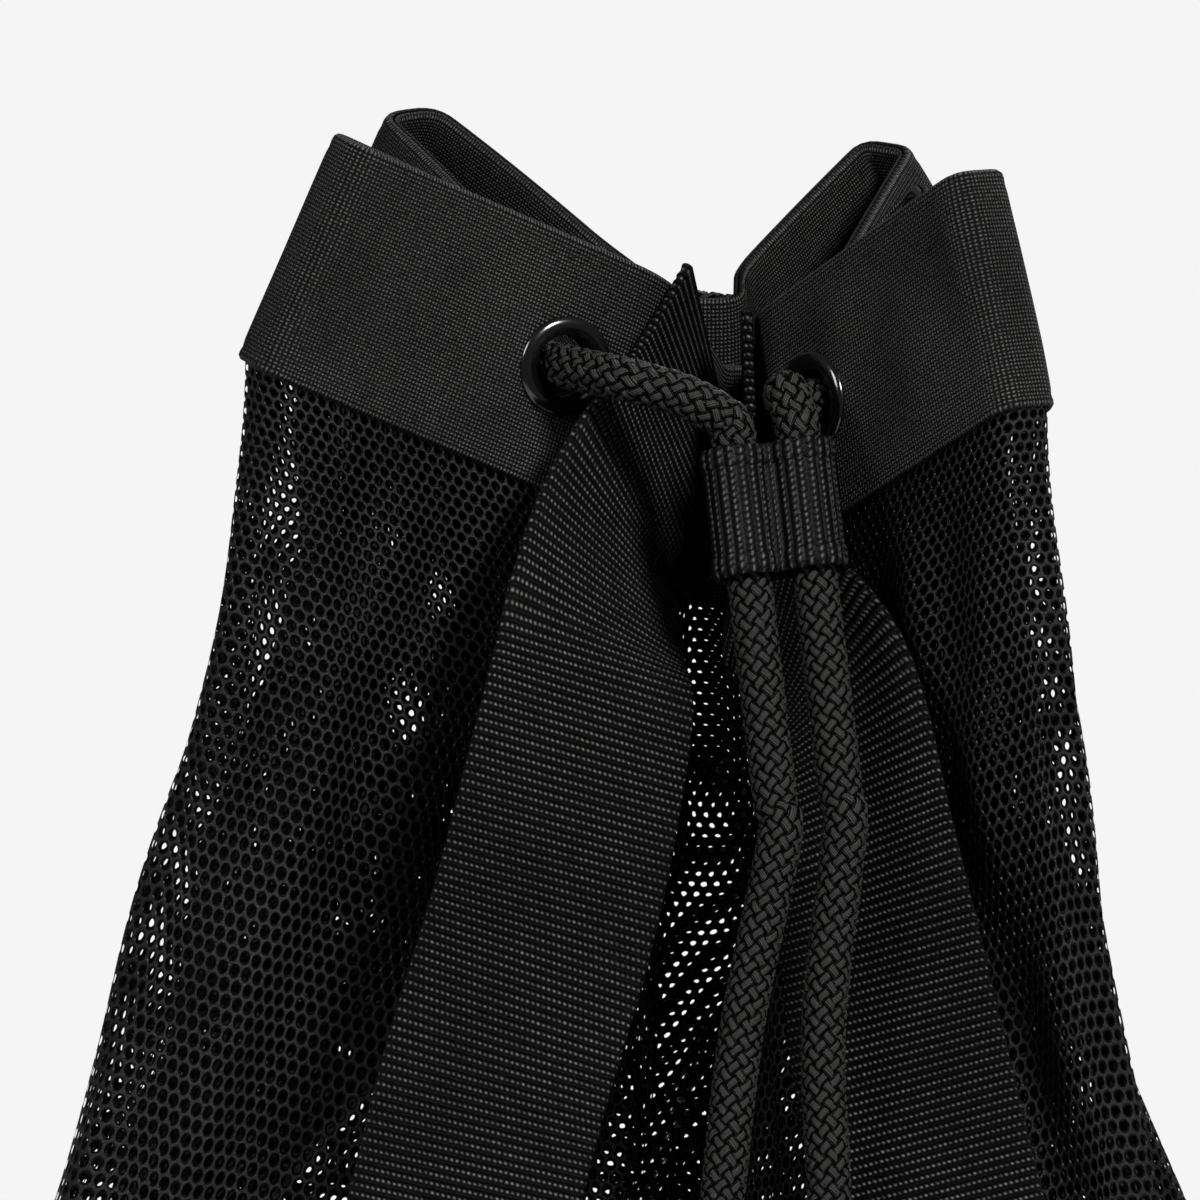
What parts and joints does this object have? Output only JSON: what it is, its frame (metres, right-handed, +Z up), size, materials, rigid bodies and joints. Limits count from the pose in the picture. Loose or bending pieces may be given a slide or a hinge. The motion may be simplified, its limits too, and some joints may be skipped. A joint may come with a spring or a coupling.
{
  "type": "mesh ball bag",
  "caption": "Drawstring mesh ball bag with a gathered woven collar, eyelets, cord keeper, knotted tails and adjustable shoulder straps, standing drawn shut on a round base.",
  "frame": {"origin": "centre of the round base's underside, on the ground", "axes": "+Z up along the bag, -Y towards the front, where the straps and the cord's tails hang"},
  "size_m": [0.3277, 0.347, 0.8005],
  "materials": {
    "net": "knitted mesh with a slight sheen",
    "collar_cloth": "plain woven polyester",
    "tape": "fine ribbed tape",
    "webbing": "cross-ribbed webbing",
    "cord": "round braid",
    "eyelet": "gloss black enamel",
    "buckle": "satin black"
  },
  "bodies": {
    "sack": {"mesh_front": "net", "mesh_back": "net", "side_tape_left": "tape", "side_tape_right": "tape", "collar_outer": "collar_cloth", "collar_lining": "collar_cloth", "base_panel": "collar_cloth", "base_binding": "tape", "eyelet_1": "eyelet", "eyelet_2": "eyelet", "eyelet_3": "eyelet", "eyelet_4": "eyelet", "eyelet_5": "eyelet", "eyelet_6": "eyelet", "eyelet_7": "eyelet", "eyelet_8": "eyelet", "washer_1": "eyelet", "washer_2": "eyelet", "washer_3": "eyelet", "washer_4": "eyelet", "washer_5": "eyelet", "washer_6": "eyelet", "washer_7": "eyelet", "washer_8": "eyelet", "drawcord_loop": "cord", "cord_tail_left": "cord", "cord_tail_right": "cord", "cord_knot_left": "cord", "cord_knot_right": "cord", "shoulder_strap_left": "webbing", "shoulder_strap_right": "webbing", "strap_return_left": "webbing", "strap_return_right": "webbing", "strap_ring_left": "buckle", "strap_ring_right": "buckle", "strap_anchor_left": "webbing", "strap_anchor_right": "webbing"},
    "keeper": {"cord_keeper": "webbing"},
    "slider_left": {"strap_slider_left": "buckle"},
    "slider_right": {"strap_slider_right": "buckle"}
  },
  "joints": [
    {"name": "keeper_slide", "type": "slide", "parent": "sack", "child": "keeper", "axis": [0.113, -0.3746, -0.9203], "range_m": [0, 0.045]},
    {"name": "slider_left_slide", "type": "slide", "parent": "sack", "child": "slider_left", "axis": [0, 0, -1], "range_m": [0, 0.12], "deforming": ["strap_return_left"]},
    {"name": "slider_right_slide", "type": "slide", "parent": "sack", "child": "slider_right", "axis": [0, 0, -1], "range_m": [0, 0.12], "deforming": ["strap_return_right"]}
  ]
}
